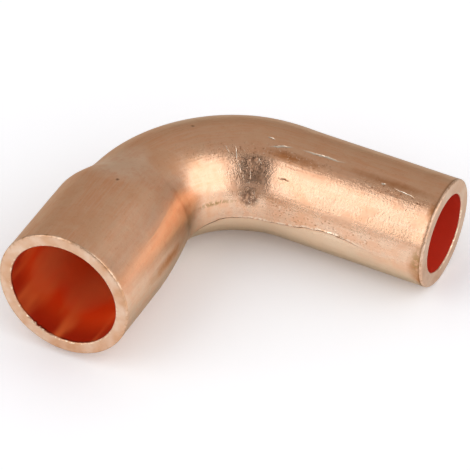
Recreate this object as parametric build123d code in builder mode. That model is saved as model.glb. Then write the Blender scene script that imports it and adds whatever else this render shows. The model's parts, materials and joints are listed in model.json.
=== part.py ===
"""Copper bend for 10 mm tube: 90 degrees, a solder socket at one end and a spigot at the other.

The fitting is one length of copper tube. It is bent, its inlet is swelled out to a socket that takes
the next tube, and its outlet is drawn down a little so that it fits into the next fitting's socket.
The origin is the centre of the socket's mouth. The centreline lies in the XY plane: it starts along
+Y, turns through the bend and leaves along +X. +Z is square to the plane of the bend. Millimetres.
"""

import math
import os

from build123d import *

# Tube
tube_diameter = 10.3
tube_bore = 7.6

# Bend
bend_angle = 90.0
bend_radius = 10.6
bend_start = 12.8

# Socket
socket_bore = 10.12
socket_wall = 1.16
socket_length = 9.8
shoulder_length_outside = 4.1
shoulder_length_inside = 7.7

# Spigot
spigot_diameter = 10.0
spigot_bore = 7.3
spigot_straight = 14.9
draw_length = 2.0

# Rims, as left by cutting to length and deburring
socket_outer_bevel = 0.25
socket_inner_bevel = 0.15
spigot_outer_bevel = 0.35
spigot_inner_bevel = 0.15

# Sections that carry the shoulder's change of diameter along the centreline
shoulder_sections = 7

with BuildLine() as centreline:
    inlet_run = Line((0, 0), (0, bend_start))
    turn = JernArc(inlet_run @ 1, inlet_run % 1, bend_radius, -bend_angle)
    outlet_run = Line(turn @ 1, (turn @ 1) + (turn % 1) * spigot_straight)

socket_diameter = socket_bore + 2 * socket_wall
shoulder_length = max(shoulder_length_outside, shoulder_length_inside)
shoulder_end = socket_length + shoulder_length


def closed_share(past_socket, length):
    """How far a side of the shoulder has closed: 0 level with the socket, 1 level with the tube."""
    share = min(past_socket / length, 1)
    return (1 - math.cos(math.pi * share)) / 2


def wall_section(distance):
    """The ring of copper that shows where the wall is cut square at a distance from the mouth.

    Its x axis and its seam face the outside of the bend. On the shoulder the outside closes first, so
    both circles lie a little towards the inside.
    """
    path = centreline.wire()
    centre = path.position_at(distance, position_mode=PositionMode.LENGTH)
    heading = path.tangent_at(distance, position_mode=PositionMode.LENGTH)
    past_socket = max(distance - socket_length, 0)
    outside = closed_share(past_socket, shoulder_length_outside)
    inside = closed_share(past_socket, shoulder_length_inside)
    sizes = ((socket_diameter, tube_diameter, Mode.ADD), (socket_bore, tube_bore, Mode.SUBTRACT))
    with BuildSketch(Plane(origin=centre, x_dir=(-heading.Y, heading.X, 0), z_dir=heading)) as section:
        for wide, narrow, mode in sizes:
            diameter = wide - (wide - narrow) * (outside + inside) / 2
            inward_shift = (wide - narrow) * (outside - inside) / 4
            with Locations((-inward_shift, 0)):
                Circle(diameter / 2, mode=mode)
    return section.sketch


# Socket: the straight cup that takes the next tube
with BuildPart() as socket:
    extrude(wall_section(0), amount=socket_length)

# Shoulder: the swell closes back to the tube, and its inside is the stop for the next tube. It
# closes quickly on the outside of the bend and fades out into the turn on the inside.
with BuildPart() as shoulder:
    shares = [count / (shoulder_sections - 1) for count in range(shoulder_sections)]
    loft([wall_section(socket_length + shoulder_length * share) for share in shares])

# Turn: the tube at its own size, from the shoulder to the end of the arc
with BuildPart() as turned_tube:
    turn_axis = Axis(turn.center_point, (0, 0, -1))
    turn_left = bend_angle - math.degrees((shoulder_end - bend_start) / bend_radius)
    revolve(wall_section(shoulder_end), axis=turn_axis, revolution_arc=turn_left)

# Spigot: the tube narrows to the standard size and runs straight to the tip
with BuildPart() as spigot:
    outlet = Plane(origin=turn @ 1, x_dir=turn % 1, z_dir=(0, 0, 1))
    with BuildSketch(outlet):
        with BuildLine():
            Polyline(
                (0, tube_bore / 2),
                (0, tube_diameter / 2),
                (draw_length, spigot_diameter / 2),
                (spigot_straight, spigot_diameter / 2),
                (spigot_straight, spigot_bore / 2),
                (draw_length, spigot_bore / 2),
                close=True,
            )
        make_face()
    outlet_axis = Axis(turn @ 1, turn % 1)
    revolve(axis=outlet_axis)

# The stretches meet only at the faces where they were cut square, so the wall is joined there
with BuildPart() as bend:
    add(socket.part.fuse(shoulder.part, turned_tube.part, spigot.part, glue=True))

    # Rims: the sharp edge is taken off inside and outside both ends
    mouth_rim = bend.edges().group_by(Axis.Y)[0].sort_by(SortBy.RADIUS)
    chamfer(mouth_rim[0], length=socket_inner_bevel)
    mouth_rim = bend.edges().group_by(Axis.Y)[0].sort_by(SortBy.RADIUS)
    chamfer(mouth_rim[-1], length=socket_outer_bevel)
    tip_rim = bend.edges().group_by(outlet_axis)[-1].sort_by(SortBy.RADIUS)
    chamfer(tip_rim[0], length=spigot_inner_bevel)
    tip_rim = bend.edges().group_by(outlet_axis)[-1].sort_by(SortBy.RADIUS)
    chamfer(tip_rim[-1], length=spigot_outer_bevel)

bend.part.label = "bend"

os.makedirs("parts", exist_ok=True)
export_step(bend.part, "parts/bend.step")
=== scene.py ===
import json
import math

import bpy
from mathutils import Matrix, Vector


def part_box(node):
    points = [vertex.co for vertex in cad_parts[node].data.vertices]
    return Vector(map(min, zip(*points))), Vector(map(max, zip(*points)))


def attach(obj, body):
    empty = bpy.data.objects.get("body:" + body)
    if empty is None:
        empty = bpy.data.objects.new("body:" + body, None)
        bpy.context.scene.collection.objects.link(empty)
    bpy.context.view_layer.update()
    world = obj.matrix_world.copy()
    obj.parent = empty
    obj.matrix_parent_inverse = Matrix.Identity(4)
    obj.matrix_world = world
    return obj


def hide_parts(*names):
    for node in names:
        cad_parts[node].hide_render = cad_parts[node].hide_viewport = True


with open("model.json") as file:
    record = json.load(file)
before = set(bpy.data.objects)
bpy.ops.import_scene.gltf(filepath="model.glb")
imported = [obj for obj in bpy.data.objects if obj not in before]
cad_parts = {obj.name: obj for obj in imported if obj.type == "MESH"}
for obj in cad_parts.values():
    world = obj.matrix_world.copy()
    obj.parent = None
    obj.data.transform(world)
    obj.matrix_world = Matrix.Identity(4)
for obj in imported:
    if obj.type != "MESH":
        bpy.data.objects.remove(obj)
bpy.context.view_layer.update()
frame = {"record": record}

# The bend: one length of drawn copper tube, pressed round through a right angle, with its inlet
# swelled to a socket and its outlet drawn down a little. The press leaves a thin line on the inside
# of the turn, the rims are cut and deburred, and the bore keeps the red film of the anneal.
mounts = {mount["name"]: mount for mount in frame["record"]["mounts"]}
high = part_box("bend")[1]
mm = 0.001

bend_start = 12.8 * mm
bend_radius = 10.6 * mm
sizes = {
    "Tube length": bend_start + bend_radius * math.pi / 2 + high.x - bend_radius,
    "Bend start": bend_start,
    "Bend radius": bend_radius,
    "Socket outside": high.z,
    "Socket bore": mounts["socket"]["dims"]["r_mm"] * mm,
    "Tube outside": 5.15 * mm,
    "Tube bore": 3.8 * mm,
    "Spigot outside": mounts["spigot"]["dims"]["r_mm"] * mm,
    "Spigot bore": 3.65 * mm,
    "Shoulder start": 9.8 * mm,
    "Shoulder outside": 4.1 * mm,
    "Shoulder inside": 7.7 * mm,
    "Flank start": 7.0 * mm,
    "Flank length": 11.7 * mm,
    "Draw start": 25.4 * mm,
    "Draw length": 5.4 * mm,
    "Outer rounding": 0.2 * mm,
    "Inner rounding": 0.14 * mm,
    "Waves": 0.035 * mm,
    "Press line": 0.16 * mm,
    "Press land": 0.04 * mm,
    "Nicks": 0.34 * mm,
    "Crowding": 0.6,
    "Seed": 3.0,
}


def linear(code):
    """A colour as the shader wants it, from its sRGB hex value."""
    parts = [int(code[i:i + 2], 16) / 255 for i in (1, 3, 5)]
    return [p / 12.92 if p <= 0.04045 else ((p + 0.055) / 1.055) ** 2.4 for p in parts] + [1.0]


def add_node(tree, kind, inputs=None, **settings):
    """A node with its settings, and each input either linked to a socket or set to a value."""
    node = tree.nodes.new(kind)
    for name, value in settings.items():
        setattr(node, name, value)
    for key, value in (inputs or {}).items():
        if isinstance(value, bpy.types.NodeSocket):
            tree.links.new(value, node.inputs[key])
        else:
            node.inputs[key].default_value = value
    return node


# Drawn copper, bright and unpolished. The draw leaves fine lines along the tube, the press rubs the inside
# of the turn to a bright grain with painted glints on it, and handling leaves scratches, pits and brown
# stains. Painted light is mixed into the colour too: the top darker and the sides paler as light falls on
# them, a painted dark reflection in the turn, a painted highlight on the shoulder, painted glints on the
# scratches, and painted shade and highlight at the press line.
drawn_copper = bpy.data.materials.new("drawn copper, satin")
drawn_copper.use_nodes = True
tree = drawn_copper.node_tree
straight = add_node(tree, "ShaderNodeAttribute", attribute_name="straight tube").outputs["Vector"]
parts = add_node(tree, "ShaderNodeSeparateXYZ", {0: straight}).outputs
value = {"outwards": parts["X"], "sideways": parts["Y"], "along": parts["Z"]}
value["from line"] = add_node(tree, "ShaderNodeAttribute", attribute_name="from press line").outputs["Fac"]
drawn_out = add_node(tree, "ShaderNodeMapping", {"Vector": straight, "Scale": (1, 1, 0.07)}).outputs[0]

# patterns by their width in mm; real draw lines and grain are under 0.05 mm wide, too fine to show at
# this size, so they are drawn at 0.2 mm
for name, vector, width, detail, roughness in (
        ("blotches", straight, 4.5, 2.0, 0.5),
        ("mottle", straight, 1.3, 4.0, 0.6),
        ("speckle", straight, 0.42, 3.0, 0.6),
        ("grain", straight, 0.19, 2.0, 0.5),
        ("wide lines", drawn_out, 0.8, 3.0, 0.6),
        ("draw lines", drawn_out, 0.2, 3.0, 0.6)):
    value[name] = add_node(tree, "ShaderNodeTexNoise", {
        "Vector": vector, "Scale": 1 / (width * mm), "Detail": detail, "Roughness": roughness,
        }, label=name).outputs["Fac"]

# place on the skin: along the centreline, around from the inside of the turn, and off the press line, which
# has a painted shade line on one side of it and a raised lip with a painted highlight on the other
for name, operation, *terms in (
        ("along mm", "MULTIPLY", "along", 1 / mm),
        ("inwards", "MULTIPLY", "outwards", -1.0),
        ("downwards", "MULTIPLY", "sideways", -1.0),
        ("turn", "ARCTAN2", "downwards", "inwards"),
        ("around mm", "MULTIPLY", "turn", sizes["Tube outside"] / mm),
        ("past line", "SUBTRACT", "from line", 0.07),
        ("dark distance", "ABSOLUTE", "past line"),
        ("before line", "ADD", "from line", 0.08),
        ("lip distance", "ABSOLUTE", "before line")):
    inputs = {i: value[t] if isinstance(t, str) else t for i, t in enumerate(terms)}
    value[name] = add_node(tree, "ShaderNodeMath", inputs, operation=operation, label=name).outputs[0]

# where the surface differs: 0 at the first border and 1 at the second, which are mm on the skin for a
# place, and values of the noise for a pattern
for name, axis, first, second in (
        ("below the top", "around mm", -7.6, -3.6),
        ("rubbed from", "around mm", -7.3, -5.6),
        ("rubbed to", "around mm", 0.9, 0.5),
        ("rubbed along", "along mm", 13.0, 25.0),
        ("inner flank", "around mm", -2.6, -0.6),
        ("below line", "from line", 0.05, 0.4),
        ("below wide", "from line", -0.5, 2.2),
        ("dark line", "dark distance", 0.11, 0.03),
        ("painted lip highlight", "lip distance", 0.12, 0.04),
        ("dark along", "along mm", 12.5, 16.0),
        ("bright along", "along mm", 23.0, 28.5),
        ("bright ends", "along mm", 39.5, 36.0),
        ("dark ends", "along mm", 28.0, 24.5),
        ("soft along", "along mm", 21.5, 16.5),
        ("streak side", "around mm", -5.6, -4.0),
        ("fades out", "around mm", 13.0, 5.0),
        ("tip shade", "along mm", 43.9, 44.15),
        ("painted dark reflection patches", "speckle", 0.60, 0.44),
        ("pale from", "blotches", 0.50, 0.66),
        ("line broken", "speckle", 0.40, 0.50),
        ("lip broken", "speckle", 0.58, 0.46),
        ("wide line shade", "wide lines", 0.38, 0.66),
        ("bright from", "mottle", 0.42, 0.62),
        ("stained from", "blotches", 0.52, 0.68),
        ("dark specks", "grain", 0.47, 0.30),
        ("painted glint specks", "grain", 0.58, 0.72),
        ("speck patches", "speckle", 0.42, 0.62),
        ("line shade", "draw lines", 0.35, 0.68)):
    value[name] = add_node(tree, "ShaderNodeMapRange", {
        "Value": value[axis], "From Min": first, "From Max": second}, label=name,
        interpolation_type="SMOOTHSTEP").outputs["Result"]

# single marks on the skin: kind, place along and around in mm, length, width, slant in degrees. A
# noise shakes their outlines, by half of this each way.
shake_mm = 0.25
place = add_node(tree, "ShaderNodeCombineXYZ", {0: value["along mm"], 1: value["around mm"]}).outputs[0]
wander = add_node(tree, "ShaderNodeTexNoise", {
    "Vector": straight, "Scale": 1 / (0.5 * mm), "Detail": 1.0}).outputs["Color"]
shaken = add_node(tree, "ShaderNodeVectorMath", {0: wander, "Scale": shake_mm}, operation="SCALE").outputs[0]
marked_place = add_node(tree, "ShaderNodeVectorMath", {0: place, 1: shaken}).outputs[0]
nothing = add_node(tree, "ShaderNodeMath", {0: 0.0, 1: 0.0}, operation="ADD").outputs[0]
value.update({kind: nothing for kind in ("scratch", "gouge", "stain", "rubbed grain and painted dark reflection", "worn", "dotted", "pale")})
for kind, along, around, length, width, slant in (
        ("scratch", 27.6, -7.2, 0.9, 0.20, 12),
        ("scratch", 28.8, -6.6, 2.6, 0.24, -15),
        ("scratch", 32.8, -7.05, 4.6, 0.30, -2),
        ("scratch", 24.1, -5.2, 1.5, 0.12, 86),
        ("scratch", 24.5, -4.1, 1.2, 0.11, 72),
        ("scratch", 23.1, -5.7, 0.9, 0.08, 60),
        ("scratch", 41.0, -6.1, 2.2, 0.12, 6),
        ("scratch", 38.9, -6.3, 0.5, 0.22, 0),
        ("scratch", 27.1, -4.7, 0.7, 0.13, 50),
        ("scratch", 26.1, -3.4, 0.8, 0.12, 75),
        ("scratch", 25.1, -3.1, 0.6, 0.11, 60),
        ("scratch", 27.0, -1.6, 0.8, 0.14, 80),
        ("scratch", 26.3, -0.9, 0.5, 0.11, 40),
        ("gouge", 30.4, -3.7, 1.3, 0.17, -4),
        ("gouge", 20.6, -9.0, 0.5, 0.32, 30),
        ("gouge", 9.5, -7.9, 0.45, 0.3, 0),
        ("stain", 43.8, 0.6, 2.0, 5.4, 0),
        ("stain", 44.1, 1.6, 1.2, 7.0, 0),
        ("stain", 30.3, -5.8, 8.0, 1.5, 0),
        ("stain", 39.5, -6.6, 10.0, 1.2, 0),
        ("stain", 44.0, -5.2, 1.0, 2.6, 0),
        ("stain", 8.0, -0.4, 9.0, 1.4, 3),
        # these two marks are a rubbed grain in the bump, with a painted dark reflection of the gap between
        # the softboxes in their colour
        ("rubbed grain and painted dark reflection", 26.4, -4.3, 3.7, 2.3, 0),
        ("rubbed grain and painted dark reflection", 26.2, -1.3, 4.0, 2.2, 0),
        ("worn", 25.8, -3.3, 7.5, 8.0, 0),
        ("worn", 30.5, -6.2, 10.0, 2.2, -3),
        ("worn", 40.5, -5.9, 10.0, 1.8, 2),
        ("worn", 21.0, -6.0, 9.0, 3.2, 3),
        ("worn", 34.0, -0.6, 15.0, 1.8, 0),
        ("dotted", 20.4, -0.9, 8.5, 0.6, 0),
        ("dotted", 43.9, -0.2, 1.4, 3.6, 0),
        # this pale mark is a painted highlight on top of the shoulder
        ("pale", 12.4, -8.6, 7.0, 6.0, 0)):
    framed = add_node(tree, "ShaderNodeMapping", {
        "Vector": marked_place, "Location": (along + shake_mm / 2, around + shake_mm / 2, 0),
        "Rotation": (0, 0, math.radians(slant)), "Scale": (length / 2, width / 2, 1)},
        vector_type="TEXTURE").outputs[0]
    spot = add_node(tree, "ShaderNodeTexGradient", {
        "Vector": framed}, gradient_type="SPHERICAL").outputs["Fac"]
    value[kind] = add_node(tree, "ShaderNodeMath", {
        0: value[kind], 1: spot}, operation="MAXIMUM", label=kind).outputs[0]

# how much of each colour below shows, then the height in mm and the roughness
for name, operation, *terms in (
        ("rubbed across", "MULTIPLY", "rubbed from", "rubbed to"),
        ("rubbed", "MULTIPLY", "rubbed across", "rubbed along"),
        ("worn edge", "MULTIPLY_ADD", "worn", 2.6, 0.2),
        ("worn share", "MINIMUM", "worn edge", 1.0),
        ("speck reach asked", "MULTIPLY", "rubbed", "worn share"),
        ("speck reach", "MAXIMUM", "speck reach asked", 0.14),
        ("speck room", "MULTIPLY", "speck reach", "speck patches"),
        ("dots", "MULTIPLY", "dotted", "line broken"),
        ("dots share", "MULTIPLY", "dots", 1.1),
        ("dark line here", "MULTIPLY", "dark line", "dark along"),
        ("dark line dashes", "MULTIPLY", "line broken", "bright ends"),
        ("dark line kept", "MAXIMUM", "dark line dashes", "dark ends"),
        ("painted line shade share", "MULTIPLY", "dark line here", "dark line kept"),
        ("bright stretch", "MULTIPLY", "bright along", "bright ends"),
        ("lip here", "MULTIPLY", "painted lip highlight", "bright stretch"),
        ("lip share", "MULTIPLY", "lip here", "lip broken"),
        ("land crisp", "SUBTRACT", "below line", "below wide"),
        ("land mask", "MULTIPLY_ADD", "land crisp", "bright ends", "below wide"),
        ("land here", "MULTIPLY", "land mask", "dark along"),
        ("land left", "MULTIPLY", "land here", "fades out"),
        ("painted floor reflection share", "MULTIPLY", "land left", 0.75),
        ("painted side light share", "MULTIPLY", "below the top", "fades out"),
        ("painted flank light share", "MULTIPLY", "inner flank", "fades out"),
        ("wide line share", "MULTIPLY", "wide line shade", 0.4),
        ("dark speck asked", "MULTIPLY", "dark specks", "speck room"),
        ("dark speck share", "MULTIPLY", "dark speck asked", 0.9),
        ("painted glint share", "MULTIPLY", "painted glint specks", "speck room"),
        ("scratch asked", "MULTIPLY", "scratch", 2.2),
        ("painted scratch glint share", "MINIMUM", "scratch asked", 1.0),
        ("gouge share", "MULTIPLY", "gouge", 1.1),
        ("painted dark reflection asked", "MULTIPLY", "rubbed grain and painted dark reflection", 2.4),
        ("painted dark reflection edge", "MINIMUM", "painted dark reflection asked", 1.0),
        ("painted dark reflection grade", "MULTIPLY_ADD", "painted dark reflection patches", 0.46, 0.28),
        ("painted dark reflection share", "MULTIPLY", "painted dark reflection edge", "painted dark reflection grade"),
        ("pale share", "MULTIPLY", "pale from", 0.5),
        ("pale edge", "MULTIPLY", "pale", 1.8),
        ("painted shoulder highlight share", "MINIMUM", "pale edge", 0.75),
        ("tip shade share", "MULTIPLY", "tip shade", 0.6),
        ("stain edge", "MULTIPLY", "stain", 2.1),
        ("stain share", "MULTIPLY", "stain edge", "mottle"),
        ("blotch share", "MULTIPLY", "stained from", 0.5),
        ("line share", "MULTIPLY", "line shade", 0.3),
        ("mottle share", "MULTIPLY", "bright from", 0.45),
        ("rubbed depth", "MULTIPLY_ADD", "rubbed", 0.008, 0.007),
        ("grain depth", "MULTIPLY_ADD", "rubbed grain and painted dark reflection", 0.06, "rubbed depth"),
        ("speckle depth", "MULTIPLY_ADD", "worn share", 0.014, 0.006),
        ("grain height", "MULTIPLY", "grain", "grain depth"),
        ("speckled", "MULTIPLY_ADD", "speckle", "speckle depth", "grain height"),
        ("lined", "MULTIPLY_ADD", "draw lines", 0.008, "speckled"),
        ("wide lined", "MULTIPLY_ADD", "wide lines", 0.02, "lined"),
        ("mottled", "MULTIPLY_ADD", "mottle", 0.014, "wide lined"),
        ("scratched", "MULTIPLY_ADD", "scratch", -0.06, "mottled"),
        ("height", "MULTIPLY_ADD", "gouge", -0.04, "scratched"),
        ("rough", "MULTIPLY_ADD", "mottle", 0.12, 0.27),
        ("rubbed rough", "MULTIPLY_ADD", "rubbed", -0.06, "rough"),
        ("soft rough", "MULTIPLY_ADD", "soft along", 0.13, "rubbed rough"),
        ("streak zone", "MULTIPLY", "streak side", "fades out"),
        ("streak here", "MULTIPLY", "soft along", "streak zone"),
        ("streak rough", "MULTIPLY_ADD", "streak here", -0.14, "soft rough"),
        ("roughness", "MULTIPLY_ADD", "stain share", 0.12, "streak rough")):
    inputs = {i: value[t] if isinstance(t, str) else t for i, t in enumerate(terms)}
    value[name] = add_node(tree, "ShaderNodeMath", inputs, operation=operation, label=name).outputs[0]

colour = linear("#F3BD96")
for share, code in (
        # painted light: the top keeps the darker, warmer base colour, and the sides and the flank near the
        # inside of the turn are painted paler, as light falls on them
        ("painted side light share", "#F9CBAC"),
        ("painted flank light share", "#EBC7AA"),
        ("wide line share", "#E8B890"),
        ("pale share", "#FFE0C0"),
        ("painted shoulder highlight share", "#FFDFC4"),
        ("mottle share", "#EEB189"),
        ("line share", "#FBDCC2"),
        ("blotch share", "#E9AE84"),
        # painted reflection of the white floor, paler on the sunken land below the press line
        ("painted floor reflection share", "#F1D9BC"),
        ("stain share", "#C2865A"),
        # painted dark reflection of the gap between the softboxes, in the turn
        ("painted dark reflection share", "#5E412F"),
        ("dark speck share", "#A8714C"),
        # painted glints on the grain
        ("painted glint share", "#FFE8D0"),
        ("dots share", "#AE8A5C"),
        # painted shade below the press line's lip, and a painted highlight on the lip
        ("painted line shade share", "#8A5838"),
        ("lip share", "#FFE9D2"),
        ("tip shade share", "#8E6242"),
        ("gouge share", "#8E5E3C"),
        # the scratches are grooves in the bump; their near-white colour is a painted glint
        ("painted scratch glint share", "#FFF0DE")):
    colour = add_node(tree, "ShaderNodeMix", {
        0: value[share], 6: colour, 7: linear(code)}, label=share, data_type="RGBA").outputs[2]
bump = add_node(tree, "ShaderNodeBump", {"Height": value["height"], "Distance": mm, "Strength": 1.0})
shader = tree.nodes["Principled BSDF"]
shader.inputs["Metallic"].default_value = 1.0
shader.inputs["Specular Tint"].default_value = linear("#B4BAB4")
tree.links.new(colour, shader.inputs["Base Color"])
tree.links.new(value["roughness"], shader.inputs["Roughness"])
tree.links.new(bump.outputs["Normal"], shader.inputs["Normal"])

# Cut copper at the rims, bright and pale. The cutter leaves fine rings, drawn here at 0.12 mm because
# real ones are too fine to show, and the edge has small burrs.
cut_copper = bpy.data.materials.new("copper, cut and deburred")
cut_copper.use_nodes = True
tree = cut_copper.node_tree
straight = add_node(tree, "ShaderNodeAttribute", attribute_name="straight tube").outputs["Vector"]
parts = add_node(tree, "ShaderNodeSeparateXYZ", {0: straight}).outputs
across = add_node(tree, "ShaderNodeCombineXYZ", {0: parts["X"], 1: parts["Y"]}).outputs[0]
from_centre = add_node(tree, "ShaderNodeVectorMath", {0: across}, operation="LENGTH").outputs["Value"]
rings = add_node(tree, "ShaderNodeTexNoise", {
    "W": from_centre, "Scale": 1 / (0.12 * mm), "Detail": 3.0}, noise_dimensions="1D").outputs["Fac"]
burrs = add_node(tree, "ShaderNodeTexNoise", {
    "Vector": straight, "Scale": 1 / (0.5 * mm), "Detail": 4.0}).outputs["Fac"]
clouds = add_node(tree, "ShaderNodeTexNoise", {
    "Vector": straight, "Scale": 1 / (2.2 * mm), "Detail": 2.0}).outputs["Fac"]
patches = add_node(tree, "ShaderNodeMapRange", {
    "Value": clouds, "From Min": 0.36, "From Max": 0.62}).outputs["Result"]
shade = add_node(tree, "ShaderNodeMix", {
    0: patches, 6: linear("#CB946A"), 7: linear("#EBD2BC")}, data_type="RGBA").outputs[2]
shade = add_node(tree, "ShaderNodeMix", {
    0: burrs, 6: shade, 7: linear("#E6BB99")}, data_type="RGBA").outputs[2]
# The tip's rim is the paler of the two, and is told from the mouth's by its place along the tube. Both have
# a brown outer edge, and at the bore a bright band of burrs whose brightness is a painted highlight along
# the inner edge.
at_tip = add_node(tree, "ShaderNodeMath", {0: parts["Z"], 1: 20 * mm}, operation="GREATER_THAN").outputs[0]
paler = add_node(tree, "ShaderNodeMath", {0: at_tip, 1: 0.35}, operation="MULTIPLY").outputs[0]
shade = add_node(tree, "ShaderNodeMix", {
    0: paler, 6: shade, 7: linear("#F2D6C2")}, data_type="RGBA").outputs[2]
fine = add_node(tree, "ShaderNodeTexNoise", {
    "Vector": straight, "Scale": 1 / (0.35 * mm), "Detail": 2.0}).outputs["Fac"]
for mouth_size, tip_size, first, second, low_noise, high_noise, code in (
        ("Socket outside", "Spigot outside", -0.35, 0.0, 0.48, 0.80, "#B98A62"),
        ("Socket bore", "Spigot bore", 0.20, 0.02, 0.54, 0.62, "#FFEFD2")):
    border = add_node(tree, "ShaderNodeMix", {
        0: at_tip, 2: sizes[mouth_size], 3: sizes[tip_size]}).outputs[0]
    beyond = add_node(tree, "ShaderNodeMath", {0: from_centre, 1: border}, operation="SUBTRACT").outputs[0]
    band = add_node(tree, "ShaderNodeMapRange", {
        "Value": beyond, "From Min": first * mm, "From Max": second * mm}).outputs["Result"]
    broken = add_node(tree, "ShaderNodeMapRange", {
        "Value": fine, "From Min": low_noise, "From Max": high_noise}).outputs["Result"]
    band = add_node(tree, "ShaderNodeMath", {0: band, 1: broken}, operation="MULTIPLY").outputs[0]
    shade = add_node(tree, "ShaderNodeMix", {
        0: band, 6: shade, 7: linear(code)}, data_type="RGBA").outputs[2]
rough = add_node(tree, "ShaderNodeMapRange", {"Value": burrs, "To Min": 0.28, "To Max": 0.5}).outputs[0]
ring_height = add_node(tree, "ShaderNodeMath", {0: rings, 1: 0.008}, operation="MULTIPLY").outputs[0]
cut_height = add_node(tree, "ShaderNodeMath", {
    0: burrs, 1: 0.09, 2: ring_height}, operation="MULTIPLY_ADD").outputs[0]
bump = add_node(tree, "ShaderNodeBump", {"Height": cut_height, "Distance": mm, "Strength": 1.0})
shader = tree.nodes["Principled BSDF"]
shader.inputs["Metallic"].default_value = 1.0
shader.inputs["Specular Tint"].default_value = linear("#C8CCC8")
tree.links.new(shade, shader.inputs["Base Color"])
tree.links.new(rough, shader.inputs["Roughness"])
tree.links.new(bump.outputs["Normal"], shader.inputs["Normal"])

# Annealed copper in the bore. Its thin red oxide film takes the shine off the metal and turns it deep
# orange, with paler streaks where the swelling tool rubbed it.
# Over that the wall is painted darker at the edge and far in and paler a few mm in, with two painted pools
# of light, where the lamps' light falls into the bore.
annealed_copper = bpy.data.materials.new("copper bore, annealed")
annealed_copper.use_nodes = True
tree = annealed_copper.node_tree
straight = add_node(tree, "ShaderNodeAttribute", attribute_name="straight tube").outputs["Vector"]
drawn_out = add_node(tree, "ShaderNodeMapping", {"Vector": straight, "Scale": (1, 1, 0.25)}).outputs[0]
streaks = add_node(tree, "ShaderNodeTexNoise", {
    "Vector": drawn_out, "Scale": 1 / (2.6 * mm), "Detail": 2.0}).outputs["Fac"]
film = add_node(tree, "ShaderNodeTexNoise", {
    "Vector": straight, "Scale": 1 / (1.2 * mm), "Detail": 3.0}).outputs["Fac"]
depth_in = add_node(tree, "ShaderNodeSeparateXYZ", {0: straight}).outputs["Z"]
# the colours that come in with depth, and the mm over which each does
shares = {}
for name, first, second in (
        ("past edge", 0.12, 0.4),
        ("past mouth", 0.5, 4.5),
        ("past socket", 5.0, 9.0),
        ("deep", 24.0, 34.0)):
    shares[name] = add_node(tree, "ShaderNodeMapRange", {
        "Value": depth_in, "From Min": first * mm, "From Max": second * mm}, label=name,
        interpolation_type="SMOOTHSTEP").outputs["Result"]
shares["streak"] = add_node(tree, "ShaderNodeMapRange", {
    "Value": streaks, "From Min": 0.45, "From Max": 0.8}, interpolation_type="SMOOTHSTEP").outputs["Result"]
# painted light and shade: darkest at the edge and far in, palest 5 to 9 mm in, where the lamps' light
# reaches the wall
shade = linear("#55200F")
for name, code in (
        ("past edge", "#B02A0C"),
        ("past mouth", "#FF5A1C"),
        ("past socket", "#FF9650"),
        ("streak", "#FF8C48"),
        ("deep", "#D83A24")):
    shade = add_node(tree, "ShaderNodeMix", {
        0: shares[name], 6: shade, 7: linear(code)}, label=name, data_type="RGBA").outputs[2]
# two painted pools of light on the socket's wall: angle, depth and length in mm
bore = sizes["Socket bore"]
painted_light_radius = 2.8 * mm
for turned, depth, length in ((327, 8.0, 5.5), (281, 8.3, 5.0)):
    angle = math.radians(turned)
    framed = add_node(tree, "ShaderNodeMapping", {
        "Vector": straight, "Location": (bore * math.cos(angle), bore * math.sin(angle), depth * mm),
        "Scale": (painted_light_radius, painted_light_radius, length * mm)}, vector_type="TEXTURE").outputs[0]
    spot = add_node(tree, "ShaderNodeTexGradient", {
        "Vector": framed}, gradient_type="SPHERICAL").outputs["Fac"]
    shade = add_node(tree, "ShaderNodeMix", {
        0: spot, 6: shade, 7: linear("#FFB070")}, data_type="RGBA").outputs[2]
rough = add_node(tree, "ShaderNodeMapRange", {"Value": film, "To Min": 0.3, "To Max": 0.5}).outputs[0]
bump = add_node(tree, "ShaderNodeBump", {"Height": film, "Distance": 0.02 * mm, "Strength": 1.0})
shader = tree.nodes["Principled BSDF"]
shader.inputs["Metallic"].default_value = 0.0
tree.links.new(shade, shader.inputs["Base Color"])
tree.links.new(rough, shader.inputs["Roughness"])
tree.links.new(bump.outputs["Normal"], shader.inputs["Normal"])

# The wall: a strip as long as the wall's outline, rolled to a tube and laid along the centreline.
# Y on the strip is a station: skin 0 to 1, tip rim to 4, waterway to 5, and mouth rim to 8.
tree = bpy.data.node_groups.new("swelled and turned tube", "GeometryNodeTree")
tree.interface.new_socket("Geometry", in_out="OUTPUT", socket_type="NodeSocketGeometry")
identifiers = {}
for name in sizes:
    socket = tree.interface.new_socket(name, in_out="INPUT", socket_type="NodeSocketFloat")
    identifiers[name] = socket.identifier
entry = add_node(tree, "NodeGroupInput")
value = {name: entry.outputs[name] for name in sizes}

around_count = 260
unrolled = add_node(tree, "GeometryNodeJoinGeometry", label="unrolled wall")
for name, first, last, rows, material in (
        ("outer skin", 0, 1, 220, drawn_copper),
        ("tip rim", 1, 4, 21, cut_copper),
        ("waterway", 4, 5, 80, annealed_copper),
        ("mouth rim", 5, 8, 21, cut_copper)):
    grid = add_node(tree, "GeometryNodeMeshGrid", {
        "Size X": 1.0, "Size Y": float(last - first),
        "Vertices X": around_count + 1, "Vertices Y": rows + 1}, label=name)
    placed = add_node(tree, "GeometryNodeTransform", {
        "Geometry": grid.outputs["Mesh"], "Translation": (0.5, (first + last) / 2, 0)})
    faced = add_node(tree, "GeometryNodeSetMaterial", {
        "Geometry": placed.outputs["Geometry"], "Material": material})
    tree.links.new(faced.outputs["Geometry"], unrolled.inputs["Geometry"])

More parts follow.
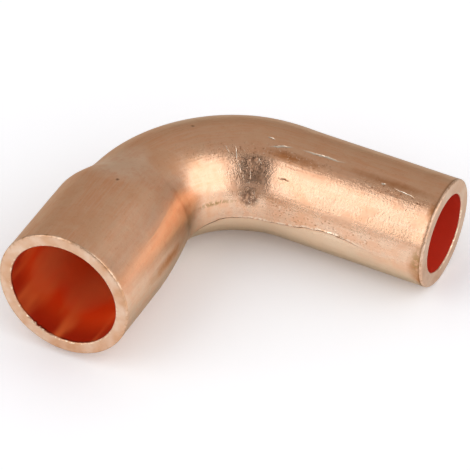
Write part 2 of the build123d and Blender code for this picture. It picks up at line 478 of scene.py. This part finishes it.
position = add_node(tree, "GeometryNodeInputPosition")
parts = add_node(tree, "ShaderNodeSeparateXYZ", {"Vector": position.outputs["Position"]}).outputs
value["share around"] = parts["X"]
value["station"] = parts["Y"]
for low_end, step in enumerate((
        "skin", "tip outer", "tip flat", "tip inner", "bore", "mouth inner", "mouth flat", "mouth outer")):
    value[step] = add_node(tree, "ShaderNodeMapRange", {
        "Value": value["station"], "From Min": float(low_end), "From Max": low_end + 1.0}).outputs["Result"]

# the press line in mm: its side of the inside of the turn, its dip, its start and its wandering
line_side = 0.75
dip_place = 35.6
dip_reach = 6.6
dip_depth = -1.1
start_shift = 1.2
line_wander = 0.35
lip_half_width = 0.13
land_edge = 0.15
tube_mm = sizes["Tube outside"] / mm

# the stretch of the mouth's edge with nicks: its middle, its half length and how far they reach
nick_middle = math.radians(300)
nick_spread = math.radians(24)
nick_reach = 0.45 * mm

quarter = math.pi / 2
for name, operation, *terms in (
        ("tip outer angle", "MULTIPLY", "tip outer", quarter),
        ("tip outer sine", "SINE", "tip outer angle"),
        ("tip outer cosine", "COSINE", "tip outer angle"),
        ("tip inner angle", "MULTIPLY", "tip inner", quarter),
        ("tip inner sine", "SINE", "tip inner angle"),
        ("tip inner cosine", "COSINE", "tip inner angle"),
        ("mouth inner angle", "MULTIPLY", "mouth inner", quarter),
        ("mouth inner sine", "SINE", "mouth inner angle"),
        ("mouth inner cosine", "COSINE", "mouth inner angle"),
        ("mouth outer angle", "MULTIPLY", "mouth outer", quarter),
        ("mouth outer sine", "SINE", "mouth outer angle"),
        ("mouth outer cosine", "COSINE", "mouth outer angle"),
        # distance along the centreline
        ("skin run", "MULTIPLY_ADD", "Outer rounding", -2.0, "Tube length"),
        ("bore run", "MULTIPLY_ADD", "Inner rounding", -2.0, "Tube length"),
        ("outer part", "MULTIPLY_ADD", "skin", "skin run", "Outer rounding"),
        ("tip part", "MULTIPLY_ADD", "Outer rounding", "tip outer sine", "outer part"),
        ("tip inner back", "SUBTRACT", "tip inner cosine", 1.0),
        ("tip end part", "MULTIPLY_ADD", "Inner rounding", "tip inner back", "tip part"),
        ("bore back", "MULTIPLY", "bore", "bore run"),
        ("bore part", "SUBTRACT", "tip end part", "bore back"),
        ("mouth inner run", "MULTIPLY", "Inner rounding", "mouth inner sine"),
        ("mouth part", "SUBTRACT", "bore part", "mouth inner run"),
        ("mouth outer back", "SUBTRACT", 1.0, "mouth outer cosine"),
        ("along", "MULTIPLY_ADD", "Outer rounding", "mouth outer back", "mouth part"),
        # angle round the tube from the outside of the bend, with more columns on the inside
        ("even angle", "MULTIPLY", "share around", 2 * math.pi),
        ("even sine", "SINE", "even angle"),
        ("angle", "MULTIPLY_ADD", "Crowding", "even sine", "even angle"),
        ("sine", "SINE", "angle"),
        ("cosine", "COSINE", "angle"),
        # where the shoulder and the drawn-down stretch end
        ("outside end", "ADD", "Shoulder start", "Shoulder outside"),
        ("inside end", "ADD", "Shoulder start", "Shoulder inside"),
        ("flank end", "ADD", "Flank start", "Flank length"),
        ("draw end", "ADD", "Draw start", "Draw length"),
        # where the press line lies, in mm from the inside of the turn
        ("along mm", "MULTIPLY", "along", 1 / mm),
        ("around mm", "MULTIPLY_ADD", "angle", tube_mm, -math.pi * tube_mm),
        ("from dip", "SUBTRACT", "along mm", dip_place),
        ("dip distance", "ABSOLUTE", "from dip")):
    inputs = {i: value[t] if isinstance(t, str) else t for i, t in enumerate(terms)}
    value[name] = add_node(tree, "ShaderNodeMath", inputs, operation=operation, label=name).outputs[0]
for name, along, first, second in (
        ("closed outside", "along", "Shoulder start", "outside end"),
        ("closed inside", "along", "Shoulder start", "inside end"),
        ("closed flank", "along", "Flank start", "flank end"),
        ("drawn", "along", "Draw start", "draw end"),
        ("line dip", "dip distance", dip_reach, 0.0),
        ("line start", "along mm", 23.5, 14.5),
        ("line grows", "along mm", 12.0, 16.0),
        ("land ends", "along mm", 42.0, 36.0),
        ("lip grows", "along mm", 20.0, 27.0),
        ("lip ends", "along mm", 39.5, 36.0)):
    ends = [value[end] if isinstance(end, str) else end for end in (first, second)]
    value[name] = add_node(tree, "ShaderNodeMapRange", {
        "Value": value[along], "From Min": ends[0], "From Max": ends[1]}, label=name,
        interpolation_type="SMOOTHSTEP").outputs["Result"]
# the noises lie on a ring of this radius in mm, so that they close at the seam
ring_mm = 5.0
even_place = add_node(tree, "ShaderNodeCombineXYZ", {
    0: value["cosine"], 1: value["sine"], 2: value["along mm"]}).outputs[0]
ring_place = add_node(tree, "ShaderNodeVectorMath", {
    0: even_place, 1: (ring_mm, ring_mm, 1.0)}, operation="MULTIPLY").outputs[0]
for name, width, detail in (("wave noise", 5.0, 1.0), ("wander noise", 1.1, 2.0), ("nick noise", 0.2, 1.0)):
    value[name] = add_node(tree, "ShaderNodeTexNoise", {
        "Vector": ring_place, "W": value["Seed"], "Scale": 1 / width, "Detail": detail},
        noise_dimensions="4D", label=name).outputs["Fac"]
for name, operation, *terms in (
        # the shoulder closes sooner on the outside of the bend
        ("closed sum", "ADD", "closed outside", "closed inside"),
        ("closed mean", "MULTIPLY", "closed sum", 0.5),
        ("closed gap", "SUBTRACT", "closed outside", "closed inside"),
        ("closed swing", "MULTIPLY", "closed gap", 0.5),
        ("closed", "MULTIPLY_ADD", "closed swing", "cosine", "closed mean"),
        ("skin closed sum", "ADD", "closed outside", "closed flank"),
        ("skin closed mean", "MULTIPLY", "skin closed sum", 0.5),
        ("skin closed gap", "SUBTRACT", "closed outside", "closed flank"),
        ("skin closed swing", "MULTIPLY", "skin closed gap", 0.5),
        ("skin closed", "MULTIPLY_ADD", "skin closed swing", "cosine", "skin closed mean"),
        ("outside closing", "SUBTRACT", "Tube outside", "Socket outside"),
        ("outside drawing", "SUBTRACT", "Spigot outside", "Tube outside"),
        ("outside swelled", "MULTIPLY_ADD", "skin closed", "outside closing", "Socket outside"),
        ("outside", "MULTIPLY_ADD", "drawn", "outside drawing", "outside swelled"),
        ("inside closing", "SUBTRACT", "Tube bore", "Socket bore"),
        ("inside drawing", "SUBTRACT", "Spigot bore", "Tube bore"),
        ("inside swelled", "MULTIPLY_ADD", "closed", "inside closing", "Socket bore"),
        ("inside", "MULTIPLY_ADD", "drawn", "inside drawing", "inside swelled"),
        # radius of the wall's outline
        ("wall", "SUBTRACT", "outside", "inside"),
        ("roundings", "ADD", "Outer rounding", "Inner rounding"),
        ("flat wall", "SUBTRACT", "wall", "roundings"),
        ("tip outer drop", "SUBTRACT", 1.0, "tip outer cosine"),
        ("tip outer fall", "MULTIPLY", "Outer rounding", "tip outer drop"),
        ("tip flat fall", "MULTIPLY_ADD", "tip flat", "flat wall", "tip outer fall"),
        ("tip fall", "MULTIPLY_ADD", "Inner rounding", "tip inner sine", "tip flat fall"),
        ("mouth inner drop", "SUBTRACT", 1.0, "mouth inner cosine"),
        ("mouth inner rise", "MULTIPLY", "Inner rounding", "mouth inner drop"),
        ("mouth flat rise", "MULTIPLY_ADD", "mouth flat", "flat wall", "mouth inner rise"),
        ("mouth rise", "MULTIPLY_ADD", "Outer rounding", "mouth outer sine", "mouth flat rise"),
        ("fallen", "SUBTRACT", "outside", "tip fall"),
        ("even radius", "ADD", "fallen", "mouth rise"),
        # skin: the waves lie under the true size and fade out 1 mm from the rims
        ("on skin", "LESS_THAN", "station", 1.0001),
        ("from mouth", "SUBTRACT", "along", "Outer rounding"),
        ("to tip", "SUBTRACT", "Tube length", "Outer rounding"),
        ("from tip", "SUBTRACT", "to tip", "along"),
        ("from rim", "MINIMUM", "from mouth", "from tip"),
        ("rim fade asked", "DIVIDE", "from rim", 1.0 * mm),
        ("rim fade kept", "MINIMUM", "rim fade asked", 1.0),
        ("rim fade low", "MAXIMUM", "rim fade kept", 0.0),
        ("rim fade", "MULTIPLY", "rim fade low", "on skin"),
        ("wave depth", "MULTIPLY", "wave noise", "Waves"),
        # press line: a thin lip, and a sunken land below it that rises to the skin 3.5 to 6 mm away
        ("line place dip", "MULTIPLY_ADD", "line dip", dip_depth, line_side),
        ("line place start", "MULTIPLY_ADD", "line start", start_shift, "line place dip"),
        ("line place", "MULTIPLY_ADD", "wander noise", line_wander, "line place start"),
        ("from line", "SUBTRACT", "around mm", "line place"),
        ("line distance", "ABSOLUTE", "from line"),
        ("lip share", "DIVIDE", "line distance", lip_half_width),
        ("lip left", "SUBTRACT", 1.0, "lip share"),
        ("lip shape", "MAXIMUM", "lip left", 0.0),
        ("lip grown", "MULTIPLY", "lip shape", "lip grows"),
        ("lip", "MULTIPLY", "lip grown", "lip ends"),
        ("lip unevenness", "MULTIPLY", "lip", "wander noise"),
        ("lip height", "MULTIPLY", "lip unevenness", "Press line"),
        ("land asked", "DIVIDE", "from line", land_edge),
        ("land low", "MAXIMUM", "land asked", 0.0),
        ("land kept", "MINIMUM", "land low", 1.0),
        ("land far asked", "MULTIPLY_ADD", "from line", -0.4, 2.4),
        ("land far low", "MAXIMUM", "land far asked", 0.0),
        ("land far", "MINIMUM", "land far low", 1.0),
        ("land both", "MULTIPLY", "land kept", "land far"),
        ("land grown", "MULTIPLY", "land both", "line grows"),
        ("land", "MULTIPLY", "land grown", "land ends"),
        ("land depth", "MULTIPLY", "land", "Press land"),
        ("sunk", "ADD", "wave depth", "land depth"),
        ("lifted", "SUBTRACT", "lip height", "sunk"),
        ("skin change", "MULTIPLY", "lifted", "rim fade"),
        # mouth: nicks and burrs along the lower inner edge
        ("edge depth", "SUBTRACT", "even radius", "Socket bore"),
        ("edge across", "ABSOLUTE", "edge depth"),
        ("edge reach", "ADD", "edge across", "along"),
        ("edge share", "DIVIDE", "edge reach", nick_reach),
        ("edge left", "SUBTRACT", 1.0, "edge share"),
        ("edge", "MAXIMUM", "edge left", 0.0),
        ("nick side", "SUBTRACT", "angle", nick_middle),
        ("nick away", "ABSOLUTE", "nick side"),
        ("nick away share", "DIVIDE", "nick away", nick_spread),
        ("nick left", "SUBTRACT", 1.0, "nick away share"),
        ("nick stretch", "MAXIMUM", "nick left", 0.06),
        ("nick lump", "SUBTRACT", "nick noise", 0.5),
        ("nick size", "MULTIPLY", "nick lump", "Nicks"),
        ("nick here", "MULTIPLY", "nick size", "nick stretch"),
        ("nick tripled", "MULTIPLY", "nick here", 3.0),
        ("nick", "MULTIPLY", "nick tripled", "edge"),
        ("nicked radius", "ADD", "even radius", "nick"),
        ("radius", "ADD", "nicked radius", "skin change"),
        # place on the centreline
        ("sideways", "MULTIPLY", "radius", "sine"),
        ("outwards", "MULTIPLY", "radius", "cosine"),
        ("past start", "SUBTRACT", "along", "Bend start"),
        ("turn asked", "DIVIDE", "past start", "Bend radius"),
        ("turn low", "MAXIMUM", "turn asked", 0.0),
        ("turn", "MINIMUM", "turn low", quarter),
        ("turn sine", "SINE", "turn"),
        ("turn cosine", "COSINE", "turn"),
        ("arc length", "MULTIPLY", "Bend radius", quarter),
        ("past arc", "SUBTRACT", "past start", "arc length"),
        ("outlet run", "MAXIMUM", "past arc", 0.0),
        ("inlet run", "MINIMUM", "along", "Bend start"),
        ("arm", "ADD", "Bend radius", "outwards"),
        ("arm across", "MULTIPLY", "arm", "turn cosine"),
        ("reach", "SUBTRACT", "Bend radius", "arm across"),
        ("x", "ADD", "reach", "outlet run"),
        ("y", "MULTIPLY_ADD", "arm", "turn sine", "inlet run")):
    inputs = {i: value[t] if isinstance(t, str) else t for i, t in enumerate(terms)}
    value[name] = add_node(tree, "ShaderNodeMath", inputs, operation=operation, label=name).outputs[0]
rolled_place = add_node(tree, "ShaderNodeCombineXYZ", {0: value["x"], 1: value["y"], 2: value["sideways"]})
straight_place = add_node(tree, "ShaderNodeCombineXYZ", {
    0: value["outwards"], 1: value["sideways"], 2: value["along"]})
marked = add_node(tree, "GeometryNodeStoreNamedAttribute", {
    "Geometry": unrolled.outputs["Geometry"], "Name": "straight tube",
    "Value": straight_place.outputs["Vector"]}, data_type="FLOAT_VECTOR", domain="POINT")
marked = add_node(tree, "GeometryNodeStoreNamedAttribute", {
    "Geometry": marked.outputs["Geometry"], "Name": "from press line",
    "Value": value["from line"]}, data_type="FLOAT", domain="POINT")
rolled = add_node(tree, "GeometryNodeSetPosition", {
    "Geometry": marked.outputs["Geometry"], "Position": rolled_place.outputs["Vector"]})
closed_wall = add_node(tree, "GeometryNodeMergeByDistance", {
    "Geometry": rolled.outputs["Geometry"], "Distance": 0.001 * mm})
smooth = add_node(tree, "GeometryNodeSetShadeSmooth", {"Geometry": closed_wall.outputs["Geometry"]})
real = add_node(tree, "GeometryNodeRealizeInstances", {"Geometry": smooth.outputs["Geometry"]})
exit_node = add_node(tree, "NodeGroupOutput")
tree.links.new(real.outputs["Geometry"], exit_node.inputs["Geometry"])

wall = bpy.data.objects.new("bend_wall", bpy.data.meshes.new("bend_wall"))
bpy.context.scene.collection.objects.link(wall)
modifier = wall.modifiers.new("swelled and turned tube", "NODES")
modifier.node_group = tree
for name, size in sizes.items():
    modifier[identifiers[name]] = size
bpy.context.view_layer.update()
evaluated = wall.evaluated_get(bpy.context.evaluated_depsgraph_get())
wall.data = bpy.data.meshes.new_from_object(evaluated)
wall.modifiers.clear()
if wall.data.materials[0] is None:
    # the tree leaves an empty first slot, which no face uses
    wall.data.materials.pop(index=0)

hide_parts("bend")
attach(wall, "root")


def flat_mesh(name, width, height):
    """A rectangle in its own XY plane, centred on its origin."""
    x, y = width / 2, height / 2
    mesh = bpy.data.meshes.new(name)
    mesh.from_pydata([(-x, -y, 0), (x, -y, 0), (x, y, 0), (-x, y, 0)], [], [(0, 1, 2, 3)])
    return mesh


# Floor: white paper. The bend lies on its socket's rim and on the underside of the tube, so in the
# bend's own frame the floor is tilted. Near the bend it shows as white as its paper, directly and in
# the metal, and further off it fades to grey.
tilt_back = math.radians(4.03)
tilt_side = math.radians(0.59)
floor_up = Vector((-math.sin(tilt_side), -math.sin(tilt_back), math.cos(tilt_back))).normalized()
lowest = min(floor_up.dot(vertex.co) for vertex in wall.data.vertices)
floor_width = 6.0
object_centre = Vector((9.4, 14.4, 0)) * mm
floor_mesh = flat_mesh("floor", floor_width, floor_width)
floor_turn = Vector((0, 0, 1)).rotation_difference(floor_up).to_matrix().to_4x4()
floor_mesh.transform(Matrix.Translation(floor_up * lowest) @ floor_turn)
floor = bpy.data.objects.new("floor", floor_mesh)
bpy.context.scene.collection.objects.link(floor)
paper = bpy.data.materials.new("white paper")
paper.use_nodes = True
tree = paper.node_tree
shader = tree.nodes["Principled BSDF"]
shader.inputs["Roughness"].default_value = 0.9
shader.inputs["Emission Color"].default_value = linear("#F6FAFF")
rays = add_node(tree, "ShaderNodeLightPath").outputs
seen = add_node(tree, "ShaderNodeMath", {
    0: rays["Is Camera Ray"], 1: rays["Is Glossy Ray"]}, operation="ADD").outputs[0]
seen = add_node(tree, "ShaderNodeMath", {
    0: seen, 1: rays["Is Transmission Ray"]}, operation="ADD", use_clamp=True).outputs[0]
# the glow that whitens the floor is dimmed by ambient occlusion: a painted shade under and beside the bend,
# directly and in the metal
painted_shade_openness = add_node(tree, "ShaderNodeAmbientOcclusion", {"Distance": 30 * mm}, samples=16).outputs["AO"]
floor_place = add_node(tree, "ShaderNodeTexCoord").outputs["Object"]
from_object = add_node(tree, "ShaderNodeVectorMath", {
    0: floor_place, 1: object_centre}, operation="DISTANCE").outputs["Value"]
near = add_node(tree, "ShaderNodeMapRange", {
    "Value": from_object, "From Min": 120 * mm, "From Max": 70 * mm}).outputs["Result"]
whitening = seen
for share_of_white in (painted_shade_openness, near, 0.41):
    whitening = add_node(tree, "ShaderNodeMath", {
        0: whitening, 1: share_of_white}, operation="MULTIPLY").outputs[0]
tree.links.new(whitening, shader.inputs["Emission Strength"])
far = add_node(tree, "ShaderNodeMapRange", {
    "Value": from_object, "From Min": 60 * mm, "From Max": 160 * mm}).outputs["Result"]
sheet = add_node(tree, "ShaderNodeMix", {
    0: far, 6: linear("#F2F5FA"), 7: linear("#AAA8A4")}, data_type="RGBA").outputs[2]
tree.links.new(sheet, shader.inputs["Base Color"])
floor_mesh.materials.append(paper)

# Light: a dim, slightly warm room, and two upright softboxes left and right of the camera, with a dark
# gap between them that shows in the turn.
world = bpy.data.worlds.new("studio")
bpy.context.scene.world = world
world.use_nodes = True
world.node_tree.nodes["Background"].inputs["Color"].default_value = linear("#F7ECE3")
world.node_tree.nodes["Background"].inputs["Strength"].default_value = 0.46


def direction(azimuth, elevation):
    """A unit vector from the object, with azimuth 0 towards -Y and 90 towards +X."""
    a, e = math.radians(azimuth), math.radians(elevation)
    return Vector((math.sin(a) * math.cos(e), -math.cos(a) * math.cos(e), math.sin(e)))


# the energy grows with the softbox's area, so strength alone says how bright it looks
lamp_distance = 0.5
for name, azimuth, width, height, strength in (
        ("left softbox", -39, 0.49, 1.15, 1.22),
        ("right softbox", 81, 0.88, 1.15, 1.14)):
    lamp_data = bpy.data.lights.new(name, "AREA")
    lamp_data.shape = "RECTANGLE"
    lamp_data.size = width
    lamp_data.size_y = height
    lamp_data.energy = strength * math.pi * width * height
    lamp = bpy.data.objects.new(name, lamp_data)
    towards = direction(azimuth, 0)
    lamp.location = object_centre + towards * lamp_distance + Vector((0, 0, height / 2))
    lamp.rotation_euler = towards.to_track_quat("Z", "Y").to_euler()
    lamp.visible_camera = False
    bpy.context.scene.collection.objects.link(lamp)

# A card covered in black felt stands in the gap between the softboxes, behind the camera, and keeps
# the gap dark in the metal.
card_distance = 0.62
card_mesh = flat_mesh("dark_card", 0.32, 0.62)
towards = direction(12, 46)
card_turn = towards.to_track_quat("Z", "Y").to_matrix().to_4x4()
card_mesh.transform(Matrix.Translation(object_centre + towards * card_distance) @ card_turn)
card = bpy.data.objects.new("dark_card", card_mesh)
bpy.context.scene.collection.objects.link(card)
black_felt = bpy.data.materials.new("black felt")
black_felt.use_nodes = True
shader = black_felt.node_tree.nodes["Principled BSDF"]
shader.inputs["Base Color"].default_value = linear("#4A4642")
shader.inputs["Roughness"].default_value = 0.95
card_mesh.materials.append(black_felt)
card.visible_camera = False

# Camera: close to the photo's, looking down on the bend from the front right, with a long lens and a
# slight roll.
camera_data = bpy.data.cameras.new("camera")
camera_data.lens = 345.0
camera_data.sensor_width = 36.0
camera_data.clip_start = 0.01
camera = bpy.data.objects.new("camera", camera_data)
camera_target = Vector((9.438, 14.375, 0)) * mm
camera_distance = 0.3934
camera_roll = math.radians(3.02)
towards = direction(24.07, 39.79)
camera.location = camera_target + towards * camera_distance
turned = towards.to_track_quat("Z", "Y").to_matrix() @ Matrix.Rotation(camera_roll, 3, "Z")
camera.rotation_euler = turned.to_euler()
bpy.context.scene.collection.objects.link(camera)
bpy.context.scene.camera = camera
bpy.context.scene.view_settings.view_transform = "Standard"
